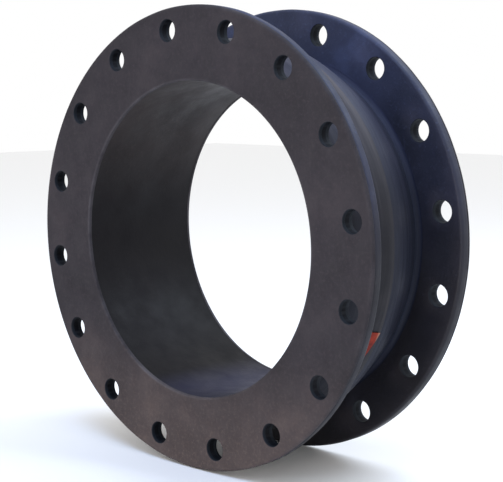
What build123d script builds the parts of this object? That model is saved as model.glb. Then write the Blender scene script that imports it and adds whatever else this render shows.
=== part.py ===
"""Spool-type rubber expansion joint, 16 inch flow bore, with full-face rubber flanges.

Frame: the flow axis is +Y, +Z is up and +X is to the right seen from the front.
The origin is the centre of the front sealing face, and the rear one is at y = face_to_face.
Profiles are drawn in the XY plane, x being the radius, and revolved about the flow axis.
"""

from build123d import *
from math import asin, atan2, cos, degrees, hypot, radians, sin
import os

os.makedirs("parts", exist_ok=True)

# Driving dimensions, mm and degrees
bore_radius = 203.2
face_to_face = 192.0
flange_radius = 298.45
flange_thickness = 18.0
facing_thickness = 5.0
flange_ply_count = 5
edge_rounding = 4.5
bore_lip_rounding = 2.5
rim_cover_thickness = 4.0

bolt_circle_diameter = 539.75
bolt_count = 16
bolt_hole_radius = 14.3
first_hole_angle = 99.0  # anticlockwise from +X seen from the front, as the joint stands

tube_thickness = 5.0
ply_thickness = 1.4
body_ply_count = 4
cover_thickness = 3.5
wall_thickness = 26.8  # the whole wall, where the body meets the flanges
arch_height = 30.0  # rise of the outside from there to mid-length
crest_rounding = 45.0
root_rounding = 6.0
bond_gap = 0.3  # cement line between bonded layers

ring_bar_radius = 4.75  # embedded steel body rings
ring_seat = 1.45  # gum between the tube and a ring
ring_offset = 36.0  # from the nearer sealing face to a ring's middle
ring_clearance = 0.3

label_thickness = 1.2
label_front = 46.0  # nearer edge of the label, from the front sealing face
label_width = 42.0
label_start_angle = 23.0  # below the +X axis, seen from the front
label_arc = 13.0

# Values that follow from them
tube_outer_radius = bore_radius + tube_thickness
flange_inner_radius = tube_outer_radius + bond_gap
flange_ply_radius = flange_radius - rim_cover_thickness
flange_cover_start = facing_thickness + flange_ply_count * ply_thickness
base_radius = bore_radius + wall_thickness
crest_radius = base_radius + arch_height
ring_radius = flange_inner_radius + ring_seat + ring_clearance + ring_bar_radius
wall_start = flange_thickness + bond_gap
wall_end = face_to_face - wall_start
mid_length = face_to_face / 2
crest_centre = crest_radius - crest_rounding
flank_run = mid_length - wall_start
flank_drop = base_radius - crest_centre
flank_angle = asin(crest_rounding / hypot(flank_run, flank_drop)) - atan2(flank_drop, flank_run)
core_depth = cover_thickness + bond_gap + body_ply_count * (ply_thickness + bond_gap)


def inward(side, depth):
    """The y of a plane that lies depth behind the sealing face of that side."""
    return depth if side == "front" else face_to_face - depth


def write(part, label):
    part.label = label
    export_step(part, f"parts/{label}.step")


def flank_end(depth):
    """Where the front flank, at that depth under the outside, runs into the crest."""
    radius = crest_rounding - depth
    return crest_centre + radius * cos(flank_angle), mid_length - radius * sin(flank_angle)


def wall_line(depth):
    """Draws the body's wall line at that depth under the outside, front to rear."""
    start_radius = base_radius - depth / cos(flank_angle)
    end_radius, end_y = flank_end(depth)
    rear_y = face_to_face - end_y
    Line((start_radius, wall_start), (end_radius, end_y))
    ThreePointArc((end_radius, end_y), (crest_radius - depth, mid_length), (end_radius, rear_y))
    Line((end_radius, rear_y), (start_radius, wall_end))
    return start_radius


def outside_line():
    """Draws the body's outside, with the root roundings that run out on the flange backs."""
    root_radius = base_radius + root_rounding * (1 + sin(flank_angle)) / cos(flank_angle)
    flank_radius = root_radius - root_rounding * cos(flank_angle)
    flank_y = wall_start + root_rounding * (1 + sin(flank_angle))
    half_turn = (radians(90) + flank_angle) / 2
    middle_radius = root_radius - root_rounding * sin(half_turn)
    middle_y = wall_start + root_rounding * (1 - cos(half_turn))
    end_radius, end_y = flank_end(0)
    ThreePointArc((root_radius, wall_start), (middle_radius, middle_y), (flank_radius, flank_y))
    Line((flank_radius, flank_y), (end_radius, end_y))
    ThreePointArc(
        (end_radius, end_y), (crest_radius, mid_length), (end_radius, face_to_face - end_y)
    )
    Line((end_radius, face_to_face - end_y), (flank_radius, face_to_face - flank_y))
    ThreePointArc(
        (flank_radius, face_to_face - flank_y),
        (middle_radius, face_to_face - middle_y),
        (root_radius, wall_end),
    )
    return root_radius


def corner(sketch, radius, y):
    return sketch.vertices().sort_by_distance((radius, y, 0))[0]


# Bolt drill: the tool that opens every bolt hole, right through both flanges
with BuildPart() as bolt_drill:
    with BuildSketch(Plane.XZ.offset(flange_thickness)):
        with PolarLocations(bolt_circle_diameter / 2, bolt_count, start_angle=first_hole_angle):
            Circle(bolt_hole_radius)
    extrude(amount=-(face_to_face + 2 * flange_thickness))


# Flange facing: the rubber sheet that seals against the pipe flange, one each side
def make_facing(side):
    face_y = inward(side, 0)
    back_y = inward(side, facing_thickness)
    with BuildPart() as facing:
        with BuildSketch() as profile:
            with BuildLine():
                Polyline(
                    (bore_radius, face_y),
                    (flange_radius, face_y),
                    (flange_radius, back_y),
                    (bore_radius, back_y),
                    close=True,
                )
            make_face()
            fillet(corner(profile, flange_radius, face_y), edge_rounding)
            fillet(corner(profile, bore_radius, face_y), bore_lip_rounding)
        revolve(axis=Axis.Y)
        add(bolt_drill.part, mode=Mode.SUBTRACT)
    write(facing.part, f"{side}_facing")


# Flange plies: flat rings of rubbered fabric stacked behind each facing
def make_flange_ply(side, number):
    near_y = inward(side, facing_thickness + (number - 1) * ply_thickness)
    far_y = inward(side, facing_thickness + number * ply_thickness)
    with BuildPart() as ply:
        with BuildSketch():
            with BuildLine():
                Polyline(
                    (flange_inner_radius, near_y),
                    (flange_ply_radius - bond_gap, near_y),
                    (flange_ply_radius - bond_gap, far_y),
                    (flange_inner_radius, far_y),
                    close=True,
                )
            make_face()
        revolve(axis=Axis.Y)
        add(bolt_drill.part, mode=Mode.SUBTRACT)
    write(ply.part, f"{side}_flange_ply_{number}")


# Flange cover: the rubber over the back and the rim of each flange
def make_flange_cover(side):
    facing_y = inward(side, facing_thickness)
    ply_y = inward(side, flange_cover_start)
    back_y = inward(side, flange_thickness)
    with BuildPart() as cover:
        with BuildSketch() as profile:
            with BuildLine():
                Polyline(
                    (flange_inner_radius, ply_y),
                    (flange_ply_radius, ply_y),
                    (flange_ply_radius, facing_y),
                    (flange_radius, facing_y),
                    (flange_radius, back_y),
                    (flange_inner_radius, back_y),
                    close=True,
                )
            make_face()
            fillet(corner(profile, flange_radius, back_y), edge_rounding)
        revolve(axis=Axis.Y)
        add(bolt_drill.part, mode=Mode.SUBTRACT)
    write(cover.part, f"{side}_flange_cover")


for side in ("front", "rear"):
    make_facing(side)
    for number in range(1, flange_ply_count + 1):
        make_flange_ply(side, number)
    make_flange_cover(side)


# Bore tube: the leak-proof lining of the flow bore, from facing to facing
with BuildPart() as bore_tube:
    with BuildSketch():
        with BuildLine():
            Polyline(
                (bore_radius, facing_thickness + bond_gap),
                (tube_outer_radius, facing_thickness + bond_gap),
                (tube_outer_radius, face_to_face - facing_thickness - bond_gap),
                (bore_radius, face_to_face - facing_thickness - bond_gap),
                close=True,
            )
        make_face()
    revolve(axis=Axis.Y)
write(bore_tube.part, "bore_tube")


# Core: soft gum between the tube and the plies, in three lengths with a ring at each joint
def make_core(label, start_y, end_y):
    with BuildPart() as core:
        with BuildSketch():
            with BuildLine():
                outer_radius = wall_line(core_depth)
                Line((outer_radius, wall_end), (flange_inner_radius, wall_end))
                Line((flange_inner_radius, wall_end), (flange_inner_radius, wall_start))
                Line((flange_inner_radius, wall_start), (outer_radius, wall_start))
            make_face()
            with Locations((crest_radius / 2, (start_y + end_y) / 2)):
                Rectangle(crest_radius, end_y - start_y, mode=Mode.INTERSECT)
            with Locations((ring_radius, ring_offset), (ring_radius, face_to_face - ring_offset)):
                Circle(ring_bar_radius + ring_clearance, mode=Mode.SUBTRACT)
        revolve(axis=Axis.Y)
    write(core.part, label)


make_core("front_base_gum", wall_start, ring_offset - bond_gap / 2)
make_core("arch_filler", ring_offset + bond_gap / 2, face_to_face - ring_offset - bond_gap / 2)
make_core("rear_base_gum", face_to_face - ring_offset + bond_gap / 2, wall_end)


# Body rings: solid steel rings that hold the wall round against pressure and vacuum
def make_body_ring(side):
    with BuildPart() as ring:
        with BuildSketch():
            with Locations((ring_radius, inward(side, ring_offset))):
                Circle(ring_bar_radius)
        revolve(axis=Axis.Y)
    write(ring.part, f"{side}_body_ring")


make_body_ring("front")
make_body_ring("rear")


# Body plies: fabric wrapped over the core, numbered from the inside out
def make_body_ply(number):
    inner_depth = core_depth - bond_gap - (number - 1) * (ply_thickness + bond_gap)
    with BuildPart() as ply:
        with BuildSketch():
            with BuildLine():
                inner_radius = wall_line(inner_depth)
                outer_radius = wall_line(inner_depth - ply_thickness)
                Line((inner_radius, wall_start), (outer_radius, wall_start))
                Line((inner_radius, wall_end), (outer_radius, wall_end))
            make_face()
        revolve(axis=Axis.Y)
    write(ply.part, f"body_ply_{number}")


for number in range(1, body_ply_count + 1):
    make_body_ply(number)


# Body cover: the weather-proof outer rubber between the flanges
with BuildPart() as body_cover:
    with BuildSketch():
        with BuildLine():
            root_radius = outside_line()
            inner_radius = wall_line(cover_thickness)
            Line((inner_radius, wall_start), (root_radius, wall_start))
            Line((inner_radius, wall_end), (root_radius, wall_end))
        make_face()
    revolve(axis=Axis.Y)
write(body_cover.part, "body_cover")


# Label: a plain rubber patch bonded to the front flank of the body
with BuildPart() as label_patch:
    with BuildSketch(Plane.XY.rotated((0, label_start_angle, 0))):
        with BuildLine():
            inner_radius = wall_line(-bond_gap)
            outer_radius = wall_line(-bond_gap - label_thickness)
            Line((inner_radius, wall_start), (outer_radius, wall_start))
            Line((inner_radius, wall_end), (outer_radius, wall_end))
        make_face()
        with Locations((crest_radius, label_front + label_width / 2)):
            Rectangle(crest_radius, label_width, mode=Mode.INTERSECT)
    revolve(axis=Axis.Y, revolution_arc=label_arc)
write(label_patch.part, "label_patch")

print("flank angle", round(degrees(flank_angle), 1), "core depth", round(core_depth, 2))
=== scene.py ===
import math

import bmesh
import bpy
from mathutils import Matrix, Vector, noise


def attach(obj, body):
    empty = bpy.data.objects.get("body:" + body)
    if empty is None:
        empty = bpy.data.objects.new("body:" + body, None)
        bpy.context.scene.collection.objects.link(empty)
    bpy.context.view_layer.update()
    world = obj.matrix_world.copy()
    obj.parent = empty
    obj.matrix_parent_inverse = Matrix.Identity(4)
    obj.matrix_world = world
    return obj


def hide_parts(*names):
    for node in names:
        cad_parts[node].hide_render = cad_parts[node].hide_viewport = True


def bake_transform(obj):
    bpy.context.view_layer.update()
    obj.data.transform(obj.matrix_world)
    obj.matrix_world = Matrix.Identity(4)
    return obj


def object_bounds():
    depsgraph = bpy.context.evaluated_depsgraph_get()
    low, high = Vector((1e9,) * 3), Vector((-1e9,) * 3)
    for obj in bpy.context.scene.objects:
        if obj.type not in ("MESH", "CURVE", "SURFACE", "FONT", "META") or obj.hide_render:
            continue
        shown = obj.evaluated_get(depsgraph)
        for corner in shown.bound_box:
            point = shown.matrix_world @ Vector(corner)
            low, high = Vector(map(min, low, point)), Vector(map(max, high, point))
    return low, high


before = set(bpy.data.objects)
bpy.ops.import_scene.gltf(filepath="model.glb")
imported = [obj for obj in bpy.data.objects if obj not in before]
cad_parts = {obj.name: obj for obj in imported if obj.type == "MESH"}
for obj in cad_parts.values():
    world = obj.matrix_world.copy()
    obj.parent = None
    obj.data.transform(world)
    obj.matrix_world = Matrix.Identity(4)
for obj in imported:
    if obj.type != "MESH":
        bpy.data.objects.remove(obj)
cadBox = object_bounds()
print("frame loaded,", len(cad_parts), "nodes")

mm = 0.001
joint = {  # the sizes that every piece shares, mm
    "length": 192.0,
    "boreRadius": 203.2,
    "flangeRadius": 298.45,
    "plyRadius": 294.45,
    "innerRadius": 208.5,
    "boltCircle": 269.875,
    "boltCount": 16,
    "boltHole": 14.3,
    "firstHole": 99.0,
    "baseRadius": 230.0,
    "crestRadius": 260.0,
    "crestRounding": 45.0,
    "rootRounding": 6.0,
    "wallStart": 18.3,
    "ringRadius": 215.0,
    "ringPlace": 36.0,
    "ringGroove": 5.05,
}
midLength = joint["length"] / 2
crestCentre = joint["crestRadius"] - joint["crestRounding"]
flankRun = midLength - joint["wallStart"]
flankDrop = joint["baseRadius"] - crestCentre
flankAngle = (
    math.asin(joint["crestRounding"] / math.hypot(flankRun, flankDrop)) - math.atan2(flankDrop, flankRun)
)


# small helpers for node trees

def addNode(tree, kind, at, **values):
    node = tree.nodes.new(kind)
    node.location = at
    for key, value in values.items():
        setattr(node, key, value)
    return node


def join(tree, source, target):
    tree.links.new(source, target)


def newMaterial(name):
    material = bpy.data.materials.new(name)
    material.use_nodes = True
    tree = material.node_tree
    tree.nodes.clear()
    shader = addNode(tree, "ShaderNodeBsdfPrincipled", (900, 0))
    output = addNode(tree, "ShaderNodeOutputMaterial", (1200, 0))
    join(tree, shader.outputs["BSDF"], output.inputs["Surface"])
    place = addNode(tree, "ShaderNodeTexCoord", (-1400, 0))
    return material, tree, shader, place.outputs["Object"]


def noiseNode(tree, where, at, scale, detail=4.0, rough=0.55, stretch=None):
    if stretch:  # a pattern drawn out along or around the flow axis
        mapping = addNode(tree, "ShaderNodeMapping", (at[0] - 220, at[1]))
        mapping.inputs["Scale"].default_value = stretch
        join(tree, where, mapping.inputs["Vector"])
        where = mapping.outputs["Vector"]
    node = addNode(tree, "ShaderNodeTexNoise", at)
    node.inputs["Scale"].default_value = scale
    node.inputs["Detail"].default_value = detail
    node.inputs["Roughness"].default_value = rough
    join(tree, where, node.inputs["Vector"])
    return node.outputs["Fac"]


def rampNode(tree, fac, at, stops):
    node = addNode(tree, "ShaderNodeValToRGB", at)
    ramp = node.color_ramp
    while len(ramp.elements) < len(stops):
        ramp.elements.new(0.5)
    for element, (place, colour) in zip(ramp.elements, stops):
        element.position = place
        element.color = (*colour, 1.0) if len(colour) == 3 else colour
    join(tree, fac, node.inputs["Fac"])
    return node.outputs["Color"]


def mixColours(tree, at, fac, first, second, blendType="MIX"):
    node = addNode(tree, "ShaderNodeMix", at, data_type="RGBA", blend_type=blendType)
    for value, socket in ((fac, node.inputs[0]), (first, node.inputs[6]), (second, node.inputs[7])):
        if isinstance(value, bpy.types.NodeSocket):
            join(tree, value, socket)
        elif isinstance(value, tuple):
            socket.default_value = (*value, 1.0)
        else:
            socket.default_value = value
    return node.outputs[2]


def mapRange(tree, at, value, low, high, toLow=0.0, toHigh=1.0, kind="LINEAR"):
    node = addNode(tree, "ShaderNodeMapRange", at, interpolation_type=kind)
    join(tree, value, node.inputs["Value"])
    for name, number in (("From Min", low), ("From Max", high), ("To Min", toLow), ("To Max", toHigh)):
        node.inputs[name].default_value = number
    return node.outputs["Result"]


def roughen(tree, shader, at, source, low, high):  # roughness follows the middle of a noise
    join(tree, mapRange(tree, at, source, 0.3, 0.7, low, high), shader.inputs["Roughness"])


def bumpChain(tree, shader, layers):  # coarse first: each layer is a height and its depth in metres
    normal = None
    for step, (height, depth) in enumerate(layers):
        bump = addNode(tree, "ShaderNodeBump", (500 + 40 * step, -500 - 160 * step))
        bump.inputs["Strength"].default_value = 1.0
        bump.inputs["Distance"].default_value = depth
        join(tree, height, bump.inputs["Height"])
        if normal:
            join(tree, normal, bump.inputs["Normal"])
        normal = bump.outputs["Normal"]
    join(tree, normal, shader.inputs["Normal"])


# finishes

facingLook = {
    "shade": (0.0120, 0.0100, 0.0108),
    "body": (0.0205, 0.0172, 0.0180),
    "dust": (0.040, 0.0325, 0.0305),
    # painted highlight: the pale colour laid on the bore lip and the rim
    "edgeHighlight": (0.085, 0.082, 0.092),
    # painted light: a cooler, darker top and a warmer, lighter foot, by height
    "paintedTopLight": (0.78, 0.76, 0.92),
    "paintedFootLight": (2.75, 2.45, 2.20),
    "paintedLightHeights": (-0.33, -0.10),
    "lipRadius": (206.6, 204.2),
    "rimRadius": (293.4, 297.2),
    "rimHighlight": 0.3,
    "patchScale": 9.0,
    "speckScale": 210.0,
    "grainScale": 900.0,
    "roughLow": 0.58,
    "roughHigh": 0.78,
    "specular": 0.24,
}


def makeFacingRubber():
    look = facingLook
    material, tree, shader, where = newMaterial("facingRubber")
    patch = noiseNode(tree, where, (-1000, 300), look["patchScale"], 6.0, 0.62)
    colour = rampNode(tree, patch, (-760, 300), ((0.28, look["shade"]), (0.52, look["body"]), (0.80, look["dust"])))
    speck = noiseNode(tree, where, (-1000, 60), look["speckScale"], 3.0, 0.7)
    speckMask = mapRange(tree, (-760, 60), speck, 0.50, 0.74, 0.0, 0.55)
    colour = mixColours(tree, (-420, 260), speckMask, colour, look["dust"])
    pit = mapRange(tree, (-760, -120), speck, 0.42, 0.26, 0.0, 0.45)
    colour = mixColours(tree, (-220, 220), pit, colour, look["shade"])
    height = addNode(tree, "ShaderNodeSeparateXYZ", (-1000, 560))  # painted light: the lower half is painted warmer and lighter for floor bounce light, the top cooler and darker
    join(tree, where, height.inputs["Vector"])
    rise = mapRange(tree, (-760, 560), height.outputs["Z"], *look["paintedLightHeights"], 0.0, 1.0, "SMOOTHSTEP")
    tint = mixColours(tree, (-420, 520), rise, look["paintedFootLight"], look["paintedTopLight"])
    colour = mixColours(tree, (0, 300), 1.0, colour, tint, "MULTIPLY")
    # painted highlight: the bore lip and the rim are painted paler, for the light their rounded edges catch
    flat = addNode(tree, "ShaderNodeVectorMath", (-1000, 900), operation="MULTIPLY")
    flat.inputs[1].default_value = (1, 0, 1)
    join(tree, where, flat.inputs[0])
    radius = addNode(tree, "ShaderNodeVectorMath", (-800, 900), operation="LENGTH")
    join(tree, flat.outputs[0], radius.inputs[0])
    lipFrom, lipTo = (edge * mm for edge in look["lipRadius"])
    rimFrom, rimTo = (edge * mm for edge in look["rimRadius"])
    lip = mapRange(tree, (-560, 960), radius.outputs["Value"], lipFrom, lipTo)
    rim = mapRange(tree, (-560, 780), radius.outputs["Value"], rimFrom, rimTo, 0.0, look["rimHighlight"])
    edges = addNode(tree, "ShaderNodeMath", (-300, 900), operation="MAXIMUM")
    join(tree, lip, edges.inputs[0])
    join(tree, rim, edges.inputs[1])
    edgeHighlightMask = addNode(tree, "ShaderNodeMath", (-100, 900), operation="MULTIPLY")
    join(tree, edges.outputs[0], edgeHighlightMask.inputs[0])
    join(tree, mapRange(tree, (-300, 700), patch, 0.42, 0.66, 0.04, 0.55), edgeHighlightMask.inputs[1])
    colour = mixColours(tree, (200, 400), edgeHighlightMask.outputs[0], colour, look["edgeHighlight"])
    join(tree, colour, shader.inputs["Base Color"])
    rub = noiseNode(tree, where, (-1000, -300), 38.0, 4.0, 0.6)
    roughen(tree, shader, (-420, -260), rub, look["roughLow"], look["roughHigh"])
    grain = noiseNode(tree, where, (-1000, -520), look["grainScale"], 2.0, 0.5)
    shader.inputs["Specular IOR Level"].default_value = look["specular"]
    bumpChain(tree, shader, ((patch, 0.0012), (rub, 0.0006), (speck, 0.00022), (grain, 0.00012)))
    return material


coverLook = {
    "shade": (0.0060, 0.0062, 0.0085),
    "body": (0.0115, 0.0120, 0.0175),
    "bloom": (0.026, 0.029, 0.043),
    # painted light: a lighter, bluer top and a slightly warmer foot, by height
    "paintedTopLight": (2.7, 3.1, 4.3),
    "paintedFootLight": (1.2, 1.05, 0.98),
    "paintedLightHeights": (-0.06, 0.31),
    "patchScale": 7.0,
    "roughLow": 0.45,
    "roughHigh": 0.66,
    "specular": 0.24,
}


def makeCoverRubber():
    look = coverLook
    material, tree, shader, where = newMaterial("coverRubber")
    patch = noiseNode(tree, where, (-1000, 300), look["patchScale"], 5.0, 0.6)
    colour = rampNode(tree, patch, (-760, 300), ((0.3, look["shade"]), (0.6, look["body"]), (0.88, look["bloom"])))
    speck = noiseNode(tree, where, (-1000, 60), 240.0, 3.0, 0.65)
    speckMask = mapRange(tree, (-760, 60), speck, 0.56, 0.78, 0.0, 0.35)
    colour = mixColours(tree, (-220, 260), speckMask, colour, look["bloom"])
    height = addNode(tree, "ShaderNodeSeparateXYZ", (-1000, 560))  # painted light: the top is painted lighter and bluer for cool light from above, the foot a little warmer
    join(tree, where, height.inputs["Vector"])
    rise = mapRange(tree, (-760, 560), height.outputs["Z"], *look["paintedLightHeights"], 0.0, 1.0, "SMOOTHSTEP")
    tint = mixColours(tree, (-420, 520), rise, look["paintedFootLight"], look["paintedTopLight"])
    colour = mixColours(tree, (0, 300), 1.0, colour, tint, "MULTIPLY")
    join(tree, colour, shader.inputs["Base Color"])
    rub = noiseNode(tree, where, (-1000, -300), 30.0, 4.0, 0.6)
    roughen(tree, shader, (-420, -260), rub, look["roughLow"], look["roughHigh"])
    grain = noiseNode(tree, where, (-1000, -520), 1000.0, 2.0, 0.5)
    shader.inputs["Specular IOR Level"].default_value = look["specular"]
    bumpChain(tree, shader, ((rub, 0.0007), (speck, 0.00018), (grain, 0.0001)))
    return material


wallLook = {
    "shade": (0.0058, 0.0062, 0.0092),
    "body": (0.0108, 0.0114, 0.0162),
    "bloom": (0.026, 0.026, 0.033),
    # painted light: the top of the wall is painted lighter, by height
    "paintedTopLight": (3.5, 3.3, 3.1),
    "paintedLightHeights": (0.02, 0.26),
    "bands": (  # tint at each distance from the front sealing face, mm; the dark feet are painted shade, the lighter front flank painted light
        (18.0, (0.45, 0.45, 0.50)),
        (28.0, (1.0, 1.0, 1.15)),
        (60.0, (1.05, 1.05, 1.15)),
        (76.0, (1.45, 1.32, 1.14)),
        (90.2, (1.70, 1.50, 1.24)),
        (91.0, (1.05, 1.12, 1.35)),
        (148.0, (1.15, 1.22, 1.5)),
        (158.0, (1.55, 1.7, 1.95)),
        (167.5, (1.55, 1.75, 2.0)),
        (171.5, (0.50, 0.60, 1.0)),
    ),
    "wander": 0.006,
    "roughLow": 0.50,
    "roughHigh": 0.70,
    "specular": 0.20,
}


def makeWallRubber():
    look = wallLook
    material, tree, shader, where = newMaterial("wallRubber")
    split = addNode(tree, "ShaderNodeSeparateXYZ", (-1180, 620))
    join(tree, where, split.inputs["Vector"])
    streak = noiseNode(tree, where, (-900, 380), 1.0, 5.0, 0.62, (3.2, 95.0, 3.2))
    colour = rampNode(tree, streak, (-660, 380), ((0.28, look["shade"]), (0.55, look["body"]), (0.86, look["bloom"])))
    cloud = noiseNode(tree, where, (-900, 140), 11.0, 5.0, 0.6)
    cloudMask = mapRange(tree, (-660, 120), cloud, 0.5, 0.8, 0.0, 0.4)
    colour = mixColours(tree, (-300, 340), cloudMask, colour, look["bloom"])
    # the wrap edges aren't quite straight
    wander = addNode(tree, "ShaderNodeMath", (-900, 860), operation="MULTIPLY_ADD")
    join(tree, cloud, wander.inputs[0])
    wander.inputs[1].default_value = look["wander"]
    join(tree, split.outputs["Y"], wander.inputs[2])
    # painted shade darkens both feet of the wall and painted light brightens the front flank up to the lap
    first, last = look["bands"][0][0], look["bands"][-1][0]
    shift = look["wander"] / 2
    along = mapRange(tree, (-660, 860), wander.outputs[0], first * mm + shift, last * mm + shift)
    # a ramp holds up to 1, so its tints are scaled back after it
    scale = max(max(tint) for place, tint in look["bands"])
    stops = [
        ((place - first) / (last - first), tuple(part / scale for part in tint)) for place, tint in look["bands"]
    ]
    band = rampNode(tree, along, (-420, 860), stops)
    colour = mixColours(tree, (-60, 420), 1.0, colour, band, "MULTIPLY")
    # painted light: the top of the wall is painted lighter for light from above
    rise = mapRange(tree, (-660, 1120), split.outputs["Z"], *look["paintedLightHeights"], 0.0, 1.0, "SMOOTHSTEP")
    paintedTopLight = tuple(scale * part for part in look["paintedTopLight"])
    lift = mixColours(tree, (-60, 700), rise, (scale, scale, scale), paintedTopLight)
    colour = mixColours(tree, (140, 420), 1.0, colour, lift, "MULTIPLY")
    join(tree, colour, shader.inputs["Base Color"])
    rub = noiseNode(tree, where, (-900, -260), 1.0, 4.0, 0.6, (9.0, 240.0, 9.0))
    roughen(tree, shader, (-420, -240), rub, look["roughLow"], look["roughHigh"])
    # print of the curing tape
    cloth = noiseNode(tree, where, (-900, -520), 1.0, 2.0, 0.5, (60.0, 900.0, 60.0))
    grain = noiseNode(tree, where, (-900, -760), 850.0, 2.0, 0.5)
    shader.inputs["Specular IOR Level"].default_value = look["specular"]
    bumpChain(tree, shader, ((cloud, 0.0009), (rub, 0.0005), (cloth, 0.00016), (grain, 0.00008)))
    return material


boreLook = {
    "shade": (0.0022, 0.0018, 0.0024),
    "body": (0.0046, 0.0038, 0.0048),
    "bloom": (0.0072, 0.0060, 0.0068),
    # painted light: a lighter, warmer top and a painted bluish reflection along the bottom, by height
    "paintedRoofLight": (6.8, 6.6, 5.2),
    "paintedRoofLightHeights": (0.02, 0.15),
    "paintedFloorReflection": (3.6, 4.3, 7.2),
    "paintedFloorReflectionHeights": (-0.186, -0.2055),
    "roughLow": 0.42,
    "roughHigh": 0.62,
    "specular": 0.13,
}


def makeBoreRubber():
    look = boreLook
    material, tree, shader, where = newMaterial("boreRubber")
    streak = noiseNode(tree, where, (-900, 380), 1.0, 4.0, 0.55, (6.0, 5.0, 6.0))
    colour = rampNode(tree, streak, (-660, 380), ((0.28, look["shade"]), (0.56, look["body"]), (0.86, look["bloom"])))
    speck = noiseNode(tree, where, (-900, 140), 180.0, 4.0, 0.65)
    speckMask = mapRange(tree, (-660, 120), speck, 0.54, 0.78, 0.0, 0.4)
    colour = mixColours(tree, (-300, 340), speckMask, colour, look["bloom"])
    height = addNode(tree, "ShaderNodeSeparateXYZ", (-900, 640))  # painted light: the top is painted lighter and warmer for floor bounce light, the bottom bluer as a painted reflection of light from above
    join(tree, where, height.inputs["Vector"])
    roof = mapRange(tree, (-660, 640), height.outputs["Z"], *look["paintedRoofLightHeights"], 0.0, 1.0, "SMOOTHSTEP")
    paintedFloorReflectionMask = mapRange(tree, (-660, 880), height.outputs["Z"], *look["paintedFloorReflectionHeights"], 0.0, 1.0, "SMOOTHSTEP")
    tint = mixColours(tree, (-420, 640), roof, (1.0, 1.0, 1.0), look["paintedRoofLight"])
    tint = mixColours(tree, (-220, 700), paintedFloorReflectionMask, tint, look["paintedFloorReflection"])
    colour = mixColours(tree, (0, 420), 1.0, colour, tint, "MULTIPLY")
    join(tree, colour, shader.inputs["Base Color"])
    rub = noiseNode(tree, where, (-900, -260), 24.0, 4.0, 0.6)
    roughen(tree, shader, (-420, -240), rub, look["roughLow"], look["roughHigh"])
    grain = noiseNode(tree, where, (-900, -520), 900.0, 2.0, 0.5)
    shader.inputs["Specular IOR Level"].default_value = look["specular"]
    bumpChain(tree, shader, ((rub, 0.0004), (speck, 0.00016), (grain, 0.00008)))
    return material


fabricLook = {"rubber": (0.0050, 0.0058, 0.0082), "thread": (0.017, 0.018, 0.021), "threadsPerMetre": 900.0}


def makeCoatedFabric():
    look = fabricLook
    material, tree, shader, where = newMaterial("coatedFabric")
    weave = []
    for step, direction in enumerate(("X", "Z")):
        wave = addNode(tree, "ShaderNodeTexWave", (-900, 300 - 300 * step), bands_direction=direction)
        wave.inputs["Scale"].default_value = look["threadsPerMetre"] / 20
        wave.inputs["Distortion"].default_value = 0.6
        wave.inputs["Detail"].default_value = 2.0
        join(tree, where, wave.inputs["Vector"])
        weave.append(wave.outputs["Fac"])
    cross = addNode(tree, "ShaderNodeMath", (-640, 160), operation="MULTIPLY")
    join(tree, weave[0], cross.inputs[0])
    join(tree, weave[1], cross.inputs[1])
    stain = noiseNode(tree, where, (-900, -360), 40.0)
    colour = rampNode(tree, cross.outputs[0], (-420, 160), ((0.1, look["rubber"]), (0.75, look["thread"])))
    stainMask = mapRange(tree, (-640, -360), stain, 0.35, 0.7, 0.1, 0.8)
    colour = mixColours(tree, (-100, 160), stainMask, colour, look["rubber"])
    join(tree, colour, shader.inputs["Base Color"])
    shader.inputs["Roughness"].default_value = 0.72
    shader.inputs["Specular IOR Level"].default_value = 0.1
    bumpChain(tree, shader, ((cross.outputs[0], 0.0002), (stain, 0.0002)))
    return material


drilledLook = {
    "shade": (0.0070, 0.0086, 0.0120),
    "body": (0.0150, 0.0180, 0.0230),
    "dust": (0.034, 0.037, 0.043),
}


def makeDrilledRubber():  # the cut face inside each bolt hole
    look = drilledLook
    material, tree, shader, where = newMaterial("drilledRubber")
    rings = noiseNode(tree, where, (-900, 260), 1.0, 4.0, 0.6, (40.0, 700.0, 40.0))
    colour = rampNode(tree, rings, (-640, 260), ((0.3, look["shade"]), (0.62, look["body"]), (0.9, look["dust"])))
    join(tree, colour, shader.inputs["Base Color"])
    roughen(tree, shader, (-640, -100), rings, 0.55, 0.78)
    shader.inputs["Specular IOR Level"].default_value = 0.1
    bumpChain(tree, shader, ((rings, 0.00025),))
    return material


gumLook = {"shade": (0.011, 0.011, 0.012), "body": (0.024, 0.023, 0.023)}


def makeGumRubber():
    look = gumLook
    material, tree, shader, where = newMaterial("gumRubber")
    cloud = noiseNode(tree, where, (-900, 200), 26.0, 5.0, 0.6)
    colour = rampNode(tree, cloud, (-600, 200), ((0.3, look["shade"]), (0.75, look["body"])))
    join(tree, colour, shader.inputs["Base Color"])
    roughen(tree, shader, (-600, -100), cloud, 0.5, 0.7)
    bumpChain(tree, shader, ((cloud, 0.0004),))
    return material


steelLook = {"shade": (0.23, 0.24, 0.26), "bright": (0.46, 0.46, 0.47), "rust": (0.16, 0.075, 0.04)}


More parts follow.
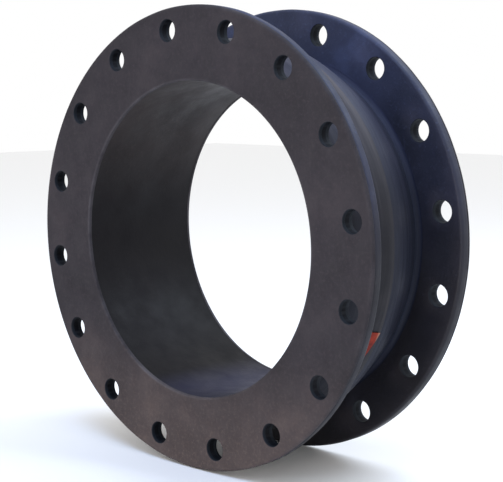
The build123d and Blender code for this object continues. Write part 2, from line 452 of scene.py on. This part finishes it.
def makeRingSteel():
    look = steelLook
    material, tree, shader, where = newMaterial("ringSteel")
    cloud = noiseNode(tree, where, (-900, 260), 60.0, 5.0, 0.6)
    colour = rampNode(tree, cloud, (-640, 260), ((0.3, look["shade"]), (0.7, look["bright"])))
    spot = noiseNode(tree, where, (-900, 0), 130.0, 5.0, 0.7)
    spotMask = mapRange(tree, (-640, 0), spot, 0.60, 0.72)
    colour = mixColours(tree, (-300, 220), spotMask, colour, look["rust"])
    join(tree, colour, shader.inputs["Base Color"])
    join(tree, mapRange(tree, (-300, 0), spotMask, 0.0, 1.0, 1.0, 0.1), shader.inputs["Metallic"])
    roughen(tree, shader, (-300, -200), cloud, 0.28, 0.5)
    bumpChain(tree, shader, ((cloud, 0.0001), (spot, 0.00015)))
    return material


labelLook = {
    "red": (0.26, 0.030, 0.014),
    "deepRed": (0.12, 0.010, 0.006),
    # a pale strip at the rear edge, which on the top corner also serves as a painted highlight
    "edge": (0.27, 0.12, 0.08),
    "rearEdge": 88.0,
    "edgeWidth": 3.0,
    "roughLow": 0.55,
    "roughHigh": 0.72,
    "specular": 0.15,
}


def makeLabelRubber():
    look = labelLook
    material, tree, shader, where = newMaterial("labelRubber")
    cloud = noiseNode(tree, where, (-900, 260), 70.0, 5.0, 0.6)
    colour = rampNode(tree, cloud, (-640, 260), ((0.3, look["deepRed"]), (0.62, look["red"])))
    # pale strip along the rear edge, showing only on the top corner, where it is partly a painted highlight
    split = addNode(tree, "ShaderNodeSeparateXYZ", (-900, 520))
    join(tree, where, split.inputs["Vector"])
    start = (look["rearEdge"] - look["edgeWidth"]) * mm
    border = mapRange(tree, (-640, 520), split.outputs["Y"], start - 0.0003, start + 0.0003)
    colour = mixColours(tree, (-300, 300), border, colour, look["edge"])
    join(tree, colour, shader.inputs["Base Color"])
    roughen(tree, shader, (-640, -100), cloud, look["roughLow"], look["roughHigh"])
    shader.inputs["Specular IOR Level"].default_value = look["specular"]
    grain = noiseNode(tree, where, (-900, -300), 700.0, 2.0, 0.5)
    bumpChain(tree, shader, ((cloud, 0.0003), (grain, 0.0001)))
    return material


facingRubber = makeFacingRubber()
coverRubber = makeCoverRubber()
wallRubber = makeWallRubber()
boreRubber = makeBoreRubber()
coatedFabric = makeCoatedFabric()
gumRubber = makeGumRubber()
drilledRubber = makeDrilledRubber()
ringSteel = makeRingSteel()
labelRubber = makeLabelRubber()
print("finishes made")


# flange sheets: drilled rubber rings, one mesh each

def tidyMesh(mesh, name, material=None, sharpAngle=40.0):  # closes the seams and turns the faces outwards
    net = bmesh.new()
    net.from_mesh(mesh)
    bmesh.ops.remove_doubles(net, verts=net.verts, dist=2e-6)
    bmesh.ops.recalc_face_normals(net, faces=net.faces)
    net.to_mesh(mesh)
    net.free()
    mesh.shade_smooth()
    mesh.set_sharp_from_angle(angle=math.radians(sharpAngle))
    if material:
        mesh.materials.clear()
        mesh.materials.append(material)
    piece = bpy.data.objects.new(name, mesh)
    bpy.context.scene.collection.objects.link(piece)
    return piece


def quarterRound(centre, radius, fromAngle, toAngle, steps=6):
    turns = [math.radians(fromAngle + (toAngle - fromAngle) * k / steps) for k in range(steps + 1)]
    return [(centre[0] + radius * math.cos(a), centre[1] + radius * math.sin(a)) for a in turns]


spokeShares = (1.0, 0.62, 0.32, 0.12)  # rows from the sheet's border in to a bolt hole
flatRows = len(spokeShares) + 2  # these rows lie on the flat face, the rest go down the hole


def drilledSheet(name, sheet, material, rear):
    # innerPath runs back to front by way of the bore, outerPath front to back by way of the rim
    sectors, across, up = joint["boltCount"], sheet["across"], sheet["up"]
    around, half = 2 * (across + up), math.pi / sectors
    turns = sectors * across
    start = math.radians(joint["firstHole"]) - half
    hole, (inner, outer) = joint["boltHole"], sheet["band"]
    points, faces, drilled = [], [], []  # drilled: runs of faces inside the bolt holes

    def loopOf(places):
        points.extend(places)
        return list(range(len(points) - len(places), len(points)))

    def stitch(one, two):
        count = len(one)
        faces.extend((one[k], one[(k + 1) % count], two[(k + 1) % count], two[k]) for k in range(count))

    for path in (sheet["innerPath"], sheet["outerPath"]):
        rings = []
        for radius, y in path:
            angles = [start + 2 * math.pi * k / turns for k in range(turns)]
            rings.append(loopOf([(radius * math.cos(a), y, radius * math.sin(a)) for a in angles]))
        for one, two in zip(rings, rings[1:]):
            stitch(one, two)
    for sector in range(sectors):
        middle = math.radians(joint["firstHole"]) + 2 * half * sector
        centreX, centreZ = joint["boltCircle"] * math.cos(middle), joint["boltCircle"] * math.sin(middle)
        border = [(outer - (outer - inner) * k / up, middle - half) for k in range(up)]
        border += [(inner, middle - half + 2 * half * k / across) for k in range(across)]
        border += [(inner + (outer - inner) * k / up, middle + half) for k in range(up)]
        border += [(outer, middle + half - 2 * half * k / across) for k in range(across)]
        spokes = [
            middle - math.pi / 2 + math.pi * up / around - 2 * math.pi * k / around for k in range(around)
        ]
        walls = []
        frontRounding, backRounding = sheet["holeRounding"]
        for planeY, rounding, sign in ((sheet["frontY"], frontRounding, 1), (sheet["backY"], backRounding, -1)):
            mouth = hole + rounding
            loops = []
            for share in spokeShares:
                places = []
                for (radius, angle), spoke in zip(border, spokes):
                    nearX, nearZ = centreX + mouth * math.cos(spoke), centreZ + mouth * math.sin(spoke)
                    farX, farZ = radius * math.cos(angle), radius * math.sin(angle)
                    places.append((nearX + (farX - nearX) * share, planeY, nearZ + (farZ - nearZ) * share))
                loops.append(loopOf(places))
            for step in range(5 if rounding else 1):
                bend = math.pi / 8 * step
                radius = mouth - rounding * math.sin(bend)
                y = planeY + sign * rounding * (1 - math.cos(bend))
                loops.append(
                    loopOf([(centreX + radius * math.cos(s), y, centreZ + radius * math.sin(s)) for s in spokes])
                )
            for one, two in zip(loops[:flatRows], loops[1:flatRows]):
                stitch(one, two)
            firstDrilled = len(faces)
            for one, two in zip(loops[flatRows - 1:], loops[flatRows:]):
                stitch(one, two)
            drilled.append((firstDrilled, len(faces)))
            walls.append(loops[-1])
        drilled.append((len(faces), len(faces) + around))
        stitch(*walls)
    placed = []
    for x, y, z in points:
        radius = math.hypot(x, z)
        if radius > joint["plyRadius"] + 1:  # hand-trimmed rim, never outside its nominal size
            seed = Vector((rimWave["seed"], 0, 0))
            wave = 0.5 + 0.5 * noise.noise(Vector((x, y * 2, z)) * rimWave["perMm"] + seed)
            fade = min(1.0, (radius - joint["plyRadius"] - 1) / 3)
            share = 1 - min(1.0, wave) * rimWave["depth"] * fade / radius
            x, z = x * share, z * share
        placed.append((x * mm, (joint["length"] - y if rear else y) * mm, z * mm))
    mesh = bpy.data.meshes.new(name)
    mesh.from_pydata(placed, [], faces)
    mesh.materials.append(material)
    mesh.materials.append(drilledRubber)
    for first, last in drilled:
        for face in range(first, last):
            mesh.polygons[face].material_index = 1
    return tidyMesh(mesh, name)


seamDepth = 0.7
seamRadius = joint["flangeRadius"] - seamDepth  # the groove where facing and cover meet on the rim
rimWave = {"depth": 0.5, "perMm": 0.03, "seed": 4.0}
facingSheet = {
    "across": 16,
    "up": 8,
    "band": (247.0, 292.6),
    "frontY": 0.0,
    "backY": 5.0,
    "holeRounding": (0.9, 0.0),
    "innerPath": [(247.0, 5.0), (225.0, 5.0), (203.2, 5.0), (203.2, 3.6)]
    + quarterRound((205.7, 2.5), 2.5, 180, 270)
    + [(212.0, 0.0), (230.0, 0.0), (247.0, 0.0)],
    "outerPath": [(292.6, 0.0)]
    + quarterRound((293.95, 4.5), 4.5, -90, -9, 9)
    + [(seamRadius, 5.0), (296.0, 5.0), (292.6, 5.0)],
}
coverSheet = {
    "across": 16,
    "up": 8,
    "band": (247.0, 292.6),
    "frontY": 12.0,
    "backY": 18.0,
    "holeRounding": (0.0, 0.9),
    "innerPath": [
        (247.0, 18.0), (236.0, 18.0), (222.0, 18.0), (208.5, 18.0), (208.5, 12.0), (226.0, 12.0), (247.0, 12.0)
    ],
    "outerPath": [(292.6, 12.0), (294.45, 12.0), (294.45, 5.0), (seamRadius, 5.0), (298.45, 5.8), (298.45, 9.5)]
    + quarterRound((293.95, 13.5), 4.5, 0, 90, 8)
    + [(292.6, 18.0)],
}
for side in ("front", "rear"):
    facing = drilledSheet(side + "Facing", facingSheet, facingRubber, side == "rear")
    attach(facing, side + "_flange")
    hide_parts(side + "_facing")
    cover = drilledSheet(side + "FlangeCover", coverSheet, coverRubber, side == "rear")
    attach(cover, side + "_flange")
    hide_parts(side + "_flange_cover")
print("flange sheets made")


# wall layers: a profile turned round the flow axis by one node tree

def makeWallTree():
    tree = bpy.data.node_groups.new("turnedLayer", "GeometryNodeTree")
    tree.interface.new_socket("Geometry", in_out="OUTPUT", socket_type="NodeSocketGeometry")
    tree.interface.new_socket("Profile", in_out="INPUT", socket_type="NodeSocketGeometry")
    sizes = (
        ("Segments", "NodeSocketInt", 256),
        ("Full Turn", "NodeSocketBool", True),
        ("Start Angle", "NodeSocketFloat", 0.0),
        ("Sweep Angle", "NodeSocketFloat", 1.0),
        ("Base Radius", "NodeSocketFloat", 0.1),
        ("Wave Depth", "NodeSocketFloat", 0.0),
        ("Wave Scale", "NodeSocketFloat", 10.0),
        ("Wrap Depth", "NodeSocketFloat", 0.0),
        ("Wrap Scale", "NodeSocketFloat", 120.0),
        ("Lap Depth", "NodeSocketFloat", 0.0),
        ("Lap Place", "NodeSocketFloat", 0.09),
        ("Lap Width", "NodeSocketFloat", 0.001),
        ("Seed", "NodeSocketFloat", 0.0),
        ("Material", "NodeSocketMaterial", None),
    )
    for title, kind, value in sizes:
        socket = tree.interface.new_socket(title, in_out="INPUT", socket_type=kind)
        if value is not None:
            socket.default_value = value
    given = addNode(tree, "NodeGroupInput", (-1600, 0)).outputs
    result = addNode(tree, "NodeGroupOutput", (1500, 0))

    def maths(at, operation, first, second=None):
        node = addNode(tree, "ShaderNodeMath", at, operation=operation)
        for value, socket in ((first, node.inputs[0]), (second, node.inputs[1])):
            if isinstance(value, (int, float)):
                socket.default_value = value
            elif value is not None:
                join(tree, value, socket)
        return node.outputs[0]

    circle = addNode(tree, "GeometryNodeCurvePrimitiveCircle", (-1200, 400))
    join(tree, given["Segments"], circle.inputs["Resolution"])
    join(tree, given["Base Radius"], circle.inputs["Radius"])
    arc = addNode(tree, "GeometryNodeCurveArc", (-1200, 150))
    join(tree, given["Segments"], arc.inputs["Resolution"])
    join(tree, given["Base Radius"], arc.inputs["Radius"])
    join(tree, given["Start Angle"], arc.inputs["Start Angle"])
    join(tree, given["Sweep Angle"], arc.inputs["Sweep Angle"])
    way = addNode(tree, "GeometryNodeSwitch", (-950, 300), input_type="GEOMETRY")
    join(tree, given["Full Turn"], way.inputs["Switch"])
    join(tree, arc.outputs["Curve"], way.inputs["False"])
    join(tree, circle.outputs["Curve"], way.inputs["True"])
    profile = addNode(tree, "GeometryNodeMeshToCurve", (-950, 0))
    join(tree, given["Profile"], profile.inputs["Mesh"])
    sweep = addNode(tree, "GeometryNodeCurveToMesh", (-700, 200))
    join(tree, way.outputs["Output"], sweep.inputs["Curve"])
    join(tree, profile.outputs["Curve"], sweep.inputs["Profile Curve"])
    sweep.inputs["Fill Caps"].default_value = True
    upright = addNode(tree, "GeometryNodeTransform", (-480, 200))  # from the curve's Z to the flow axis
    join(tree, sweep.outputs["Mesh"], upright.inputs["Geometry"])
    upright.inputs["Rotation"].default_value = (math.radians(90), 0, 0)

    place = addNode(tree, "GeometryNodeInputPosition", (-1200, -300))
    parts = addNode(tree, "ShaderNodeSeparateXYZ", (-950, -300))
    join(tree, place.outputs[0], parts.inputs[0])
    outside = addNode(tree, "GeometryNodeInputNamedAttribute", (-950, -900), data_type="FLOAT")
    outside.inputs["Name"].default_value = "outside"
    shift = addNode(tree, "ShaderNodeCombineXYZ", (-1200, -520))
    join(tree, given["Seed"], shift.inputs["X"])
    moved = addNode(tree, "ShaderNodeVectorMath", (-950, -500), operation="ADD")
    join(tree, place.outputs[0], moved.inputs[0])
    join(tree, shift.outputs[0], moved.inputs[1])
    wave = addNode(tree, "ShaderNodeTexNoise", (-700, -300))
    join(tree, moved.outputs[0], wave.inputs["Vector"])
    join(tree, given["Wave Scale"], wave.inputs["Scale"])
    wave.inputs["Detail"].default_value = 2.0
    drawn = addNode(tree, "ShaderNodeCombineXYZ", (-700, -620))  # bands run round the wall
    join(tree, maths((-950, -680), "MULTIPLY", parts.outputs["X"], 2.5), drawn.inputs["X"])
    join(tree, maths((-950, -800), "MULTIPLY", parts.outputs["Y"], given["Wrap Scale"]), drawn.inputs["Y"])
    join(tree, maths((-950, -740), "MULTIPLY", parts.outputs["Z"], 2.5), drawn.inputs["Z"])
    wrap = addNode(tree, "ShaderNodeTexNoise", (-480, -620))
    join(tree, drawn.outputs[0], wrap.inputs["Vector"])
    wrap.inputs["Scale"].default_value = 1.0
    wrap.inputs["Detail"].default_value = 1.0
    lapWave = maths((-480, -900), "MULTIPLY", maths((-700, -900), "SUBTRACT", wave.outputs[0], 0.5), 0.006)
    lapEdge = maths((-300, -900), "ADD", given["Lap Place"], lapWave)
    lap = addNode(tree, "ShaderNodeMapRange", (-80, -800), interpolation_type="SMOOTHSTEP")
    join(tree, parts.outputs["Y"], lap.inputs["Value"])
    join(tree, lapEdge, lap.inputs["From Min"])
    join(tree, maths((-300, -1020), "ADD", lapEdge, given["Lap Width"]), lap.inputs["From Max"])
    depth = maths((-200, -300), "MULTIPLY", wave.outputs[0], given["Wave Depth"])
    depth = maths((0, -400), "ADD", depth, maths((-200, -500), "MULTIPLY", wrap.outputs[0], given["Wrap Depth"]))
    depth = maths((150, -500), "ADD", depth, maths((100, -700), "MULTIPLY", lap.outputs[0], given["Lap Depth"]))
    depth = maths((320, -500), "MULTIPLY", depth, outside.outputs[0])
    radial = addNode(tree, "ShaderNodeVectorMath", (320, -250), operation="MULTIPLY")
    radial.inputs[1].default_value = (1, 0, 1)
    join(tree, place.outputs[0], radial.inputs[0])
    unit = addNode(tree, "ShaderNodeVectorMath", (500, -250), operation="NORMALIZE")
    join(tree, radial.outputs[0], unit.inputs[0])
    offset = addNode(tree, "ShaderNodeVectorMath", (700, -300), operation="SCALE")
    join(tree, unit.outputs[0], offset.inputs[0])
    join(tree, maths((500, -500), "MULTIPLY", depth, -1.0), offset.inputs["Scale"])
    pressed = addNode(tree, "GeometryNodeSetPosition", (850, 100))
    join(tree, upright.outputs[0], pressed.inputs["Geometry"])
    join(tree, offset.outputs[0], pressed.inputs["Offset"])
    real = addNode(tree, "GeometryNodeRealizeInstances", (1050, 100))
    join(tree, pressed.outputs[0], real.inputs[0])
    painted = addNode(tree, "GeometryNodeSetMaterial", (1250, 100))
    join(tree, real.outputs[0], painted.inputs["Geometry"])
    join(tree, given["Material"], painted.inputs["Material"])
    join(tree, painted.outputs[0], result.inputs[0])
    return tree


wallTree = makeWallTree()


def turnedLayer(name, profile, outsideMarks, settings):
    base = settings["Base Radius"] / mm
    count = len(profile)
    line = bpy.data.meshes.new(name + "Profile")
    places = [((r - base) * mm, y * mm, 0) for r, y in profile]
    line.from_pydata(places, [(k, (k + 1) % count) for k in range(count)], [])
    marks = line.attributes.new("outside", "FLOAT", "POINT")
    marks.data.foreach_set("value", outsideMarks)
    holder = bpy.data.objects.new(name + "Profile", line)
    bpy.context.scene.collection.objects.link(holder)
    turner = holder.modifiers.new("turnedLayer", "NODES")
    turner.node_group = wallTree
    for item in wallTree.interface.items_tree:
        if item.in_out == "INPUT" and item.name in settings:
            turner[item.identifier] = settings[item.name]
    graph = bpy.context.evaluated_depsgraph_get()
    mesh = bpy.data.meshes.new_from_object(holder.evaluated_get(graph))
    holder.modifiers.remove(turner)
    bpy.data.objects.remove(holder)
    mesh.name = name
    if "outside" in mesh.attributes:
        mesh.attributes.remove(mesh.attributes["outside"])
    return tidyMesh(mesh, name, settings["Material"], 50.0)


# each stretch of the wall bends across one joint, between start and end
stretches = [
    {"y": (18.3, 36.0), "bodies": ("front_flange", "front_ring"), "bend": (18.3, 30.5)},
    {"y": (36.0, 46.0), "bodies": ("front_ring", "inner_wall"), "bend": (41.3, 46.0)},
    {"y": (46.0, 74.0), "bodies": ("inner_wall", "core"), "bend": (46.0, 74.0)},
    {"y": (74.0, 124.0), "bodies": ("core", "outer_wall"), "bend": (74.0, 124.0)},
    {"y": (124.0, 156.0), "bodies": ("outer_wall", "rear_ring"), "bend": (124.0, 150.7)},
    {"y": (156.0, 173.7), "bodies": ("rear_ring", "rear_flange"), "bend": (161.5, 173.7)},
]


def wallRadius(y, depth):
    s = min(y, joint["length"] - y)
    radius = joint["crestRounding"] - depth
    if s > midLength - radius * math.sin(flankAngle):
        return crestCentre + math.sqrt(max(0.0, radius**2 - (midLength - s) ** 2))
    return joint["baseRadius"] - depth / math.cos(flankAngle) + (s - joint["wallStart"]) * math.tan(flankAngle)


def coverRadius(y):  # the wall's outside, with a rounded foot against each flange
    s = min(y, joint["length"] - y) - joint["wallStart"]
    rounding = joint["rootRounding"]
    if s < rounding * (1 + math.sin(flankAngle)):
        root = joint["baseRadius"] + rounding * (1 + math.sin(flankAngle)) / math.cos(flankAngle)
        return root - math.sqrt(max(0.0, rounding**2 - (rounding - max(0.0, s)) ** 2))
    return wallRadius(y, 0.0)


def rows(y0, y1, spacing, fine=()):  # one row close to each end, so that neighbouring stretches shade alike
    count = max(1, round((y1 - y0) / spacing))
    marks = {round(y0 + (y1 - y0) * k / count, 4) for k in range(count + 1)}
    marks |= {round(y0 + 0.25, 4), round(y1 - 0.25, 4)}
    marks |= {round(y, 4) for y in fine if y0 < y < y1}
    return sorted(marks)


def groove(centreY, side):  # half of a body ring's seat, from the outside in
    radius, gap = joint["ringGroove"], layers["seatGap"]
    lean = math.asin(gap / radius)
    points = []
    for k in range(17):
        turn = lean + (math.pi - 2 * lean) * k / 16
        place = joint["ringRadius"] + radius * math.cos(turn)
        points.append((place, centreY + side * radius * math.sin(turn)))
    return points


coverWall = {
    "rowSpacing": 2.0,
    "Wave Depth": 0.0007,
    "Wave Scale": 13.0,
    "Wrap Depth": 0.0006,
    "Wrap Scale": 120.0,
    "Lap Depth": 0.0009,
    "Lap Place": 0.090,
    "Lap Width": 0.0012,
    "Seed": 3.0,
}
tubeWall = {
    "rowSpacing": 4.0,
    "Wave Depth": 0.0006,
    "Wave Scale": 9.0,
    "Wrap Depth": 0.0002,
    "Wrap Scale": 40.0,
    "Seed": 8.0,
}
hiddenWall = {"rowSpacing": 4.0, "Segments": 128, "Wave Depth": 0.0, "Seed": 1.0}


lapRows = (-2.0, -1.0, -0.4, 0.0, 0.4, 0.8, 1.2, 1.6, 2.2, 3.0)  # rows about the wrap's lap, mm
rootRows = (0.4, 1.0, 1.8, 2.7, 3.7, 4.8, 6.0, 7.2, 8.4)  # rows round the foot of the wall, mm
layers = {  # mm: depths are below the wall's outside, radii from the flow axis
    "coverThickness": 3.5,
    "tubeOuter": 208.2,
    "tubeStart": 5.3,
    "firstPlyDepth": 10.3,
    "plyPitch": 1.7,
    "plyThickness": 1.4,
    "plyCount": 4,
    "gumDepth": 10.6,
    "seatGap": 0.15,
}


def wallPiece(
    name, stretch, nodeName, slotName, outerAt, innerAt, settings, material,
    ends=((), ()), start=None, stop=None, reshape=None,
):
    y0, y1 = stretch["y"]
    y0, y1 = max(y0, start or y0), min(y1, stop or y1)
    fine = []
    if settings.get("Lap Depth"):
        fine += [settings["Lap Place"] / mm + step for step in lapRows]
    if nodeName == "body_cover":
        roots = [joint["wallStart"] + step for step in rootRows]
        fine += roots + [joint["length"] - y for y in roots]
    down = rows(y0, y1, settings["rowSpacing"], fine)
    front, rear = ends  # a ring seat at either end
    outerLine = [(outerAt(y), y) for y in down]
    innerLine = [(innerAt(y), y) for y in reversed(rows(y0, y1, settings["rowSpacing"] * 2))]
    profile = outerLine + list(rear) + innerLine + list(reversed(front))
    if settings.get("markInner"):
        marks = [0.0] * (len(outerLine) + len(rear)) + [-1.0] * len(innerLine) + [0.0] * len(front)
    else:
        marks = [1.0] * len(outerLine) + [0.0] * (len(profile) - len(outerLine))
    given = dict(settings)
    given["Base Radius"] = innerAt(y0) * mm
    given["Material"] = material
    piece = turnedLayer(name, profile, marks, given)
    if reshape:
        reshape(piece)
    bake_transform(piece)
    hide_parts(nodeName)
    return piece


for number, stretch in enumerate(stretches, 1):
    y0, y1 = stretch["y"]
    wallPiece(
        f"bodyCover{number}", stretch, "body_cover", "cover_rubber",
        coverRadius, lambda y: wallRadius(y, layers["coverThickness"]), coverWall, wallRubber,
    )
    if number == 1:  # the bore tube runs on through both flanges
        y0 = layers["tubeStart"]
    if number == len(stretches):
        y1 = joint["length"] - layers["tubeStart"]
    wallPiece(
        f"boreTube{number}", dict(stretch, y=(y0, y1)), "bore_tube", "tube_rubber",
        lambda y: layers["tubeOuter"], lambda y: joint["boreRadius"], dict(tubeWall, markInner=True), boreRubber,
    )
    for ply in range(1, layers["plyCount"] + 1):
        depth = layers["firstPlyDepth"] - layers["plyPitch"] * (ply - 1)
        wallPiece(
            f"bodyPly{ply}Part{number}", stretch, f"body_ply_{ply}", "carcass_fabric",
            lambda y: wallRadius(y, depth - layers["plyThickness"]), lambda y: wallRadius(y, depth),
            hiddenWall, coatedFabric,
        )

gap = layers["seatGap"]
frontSeat, rearSeat = joint["ringPlace"], joint["length"] - joint["ringPlace"]
core = (
    "gum_rubber", lambda y: wallRadius(y, layers["gumDepth"]), lambda y: joint["innerRadius"],
    hiddenWall, gumRubber,
)
wallPiece(
    "frontBaseGum", stretches[0], "front_base_gum", *core, ends=((), groove(frontSeat, -1)), stop=frontSeat - gap,
)
fillers = {  # the stretches beside a ring stop at its seat
    2: {"ends": (groove(frontSeat, 1), ()), "start": frontSeat + gap},
    3: {},
    4: {},
    5: {"ends": ((), groove(rearSeat, -1)), "stop": rearSeat - gap},
}
for number, limits in fillers.items():
    wallPiece(f"archFiller{number}", stretches[number - 1], "arch_filler", *core, **limits)
wallPiece(
    "rearBaseGum", stretches[5], "rear_base_gum", *core, ends=(groove(rearSeat, 1), ()), start=rearSeat + gap,
)
print("wall layers made")

label = {  # mm and degrees
    "front": 60.0,
    "rear": 88.0,
    "split": 74.0,
    "lift": 0.3,
    "thickness": 1.2,
    "startAngle": 23.0,
    "arc": 13.0,
    "askew": 14.0,
    "rowSpacing": 2.0,
    "Segments": 40,
}


# the label sits a little askew, nearer the front at its lower end
# each half keeps its own blend, so a full sideways bend parts them by 5 mm there
def setAskew(piece):
    for point in piece.data.vertices:
        radius, y = math.hypot(point.co.x, point.co.z) / mm, point.co.y / mm
        low = (math.degrees(math.atan2(-point.co.z, point.co.x)) - label["startAngle"]) / label["arc"]
        moved = y - label["askew"] * low
        share = (radius + wallRadius(moved, 0.0) - wallRadius(y, 0.0)) / radius
        point.co = (point.co.x * share, moved * mm, point.co.z * share)


for number, (y0, y1) in ((3, (label["front"], label["split"])), (4, (label["split"], label["rear"]))):
    stretch = dict(stretches[number - 1], y=(y0, y1))
    settings = {
        "rowSpacing": label["rowSpacing"],
        "Segments": label["Segments"],
        "Full Turn": False,
        "Start Angle": math.radians(-label["startAngle"] - label["arc"]),
        "Sweep Angle": math.radians(label["arc"]),
    }
    wallPiece(
        f"labelPatch{number}", stretch, "label_patch", "label_rubber",
        lambda y: wallRadius(y, -label["lift"] - label["thickness"]), lambda y: wallRadius(y, -label["lift"]),
        settings, labelRubber, reshape=setAskew,
    )
print("label made")

carried = {"front_body_ring": ringSteel, "rear_body_ring": ringSteel}
for side in ("front", "rear"):
    for number in range(1, 6):
        carried[f"{side}_flange_ply_{number}"] = coatedFabric
for nodeName, material in carried.items():
    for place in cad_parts[nodeName].material_slots:
        place.material = material
print("carried parts finished")

# floor, light and camera
room = {
    "floorDrop": 0.0006,
    "floorSize": 14.0,
    "floorColour": (0.88, 0.88, 0.88),
    "worldColour": (1.0, 1.0, 1.0),
    "worldStrength": 1.0,
}
lowest = cadBox[0][2] - room["floorDrop"]
span = room["floorSize"] / 2
floorMesh = bpy.data.meshes.new("floor")
corners = [(-span, -span, lowest), (span, -span, lowest), (span, span, lowest), (-span, span, lowest)]
floorMesh.from_pydata(corners, [], [(0, 1, 2, 3)])
floor = bpy.data.objects.new("floor", floorMesh)
bpy.context.scene.collection.objects.link(floor)
paleFloor, _, shader, _ = newMaterial("paleFloor")
shader.inputs["Base Color"].default_value = (*room["floorColour"], 1.0)
shader.inputs["Roughness"].default_value = 0.8
shader.inputs["Specular IOR Level"].default_value = 0.2
floorMesh.materials.append(paleFloor)

world = bpy.data.worlds.new("paleRoom")
bpy.context.scene.world = world
world.use_nodes = True
backdrop = world.node_tree.nodes["Background"]
backdrop.inputs["Color"].default_value = (*room["worldColour"], 1.0)
backdrop.inputs["Strength"].default_value = room["worldStrength"]

lamps = {
    "skyPanel": {
        "at": (0.9, 1.1, 1.8),
        "aim": (0.0, 0.1, 0.05),
        "size": 1.6,
        "watts": 40.0,
        "colour": (0.70, 0.82, 1.0),
    },
    "topPanel": {
        "at": (0.5, -1.1, 2.1),
        "aim": (0.0, 0.18, 0.25),
        "size": 1.0,
        "watts": 34.0,
        "colour": (0.40, 0.60, 1.0),
    },
    "frontPanel": {
        "at": (0.4, -2.2, -0.05),
        "aim": (0.0, 0.0, -0.15),
        "size": 0.45,
        "watts": 26.0,
        "colour": (1.0, 0.90, 0.84),
    },
}
for name, lamp in lamps.items():
    light = bpy.data.lights.new(name, "AREA")
    light.shape = "SQUARE"
    light.size = lamp["size"]
    light.energy = lamp["watts"]
    light.color = lamp["colour"]
    holder = bpy.data.objects.new(name, light)
    holder.location = lamp["at"]
    holder.rotation_euler = (Vector(lamp["aim"]) - Vector(lamp["at"])).to_track_quat("-Z", "Y").to_euler()
    bpy.context.scene.collection.objects.link(holder)

view = {  # degrees, metres, and millimetres for the lens and its sensor
    "azimuth": 43.77,
    "elevation": 6.47,
    "distance": 1.7814,
    "sideways": 0.0777,
    "rise": -0.0009,
    "lens": 99.65,
    "sensor": 36.0,
}
azimuth, elevation = math.radians(view["azimuth"]), math.radians(view["elevation"])
level = math.cos(elevation)
back = Vector((math.sin(azimuth) * level, -math.cos(azimuth) * level, math.sin(elevation)))
right = Vector((math.cos(azimuth), math.sin(azimuth), 0.0))
up = back.cross(right)
camera = bpy.data.objects.new("camera", bpy.data.cameras.new("camera"))
camera.data.lens = view["lens"]
camera.data.sensor_width = view["sensor"]
camera.location = back * view["distance"] + right * view["sideways"] + up * view["rise"]
camera.rotation_euler = back.to_track_quat("Z", "Y").to_euler()
bpy.context.scene.collection.objects.link(camera)
bpy.context.scene.camera = camera
bpy.context.scene.view_settings.view_transform = "Standard"
print("room, lamps and camera set")
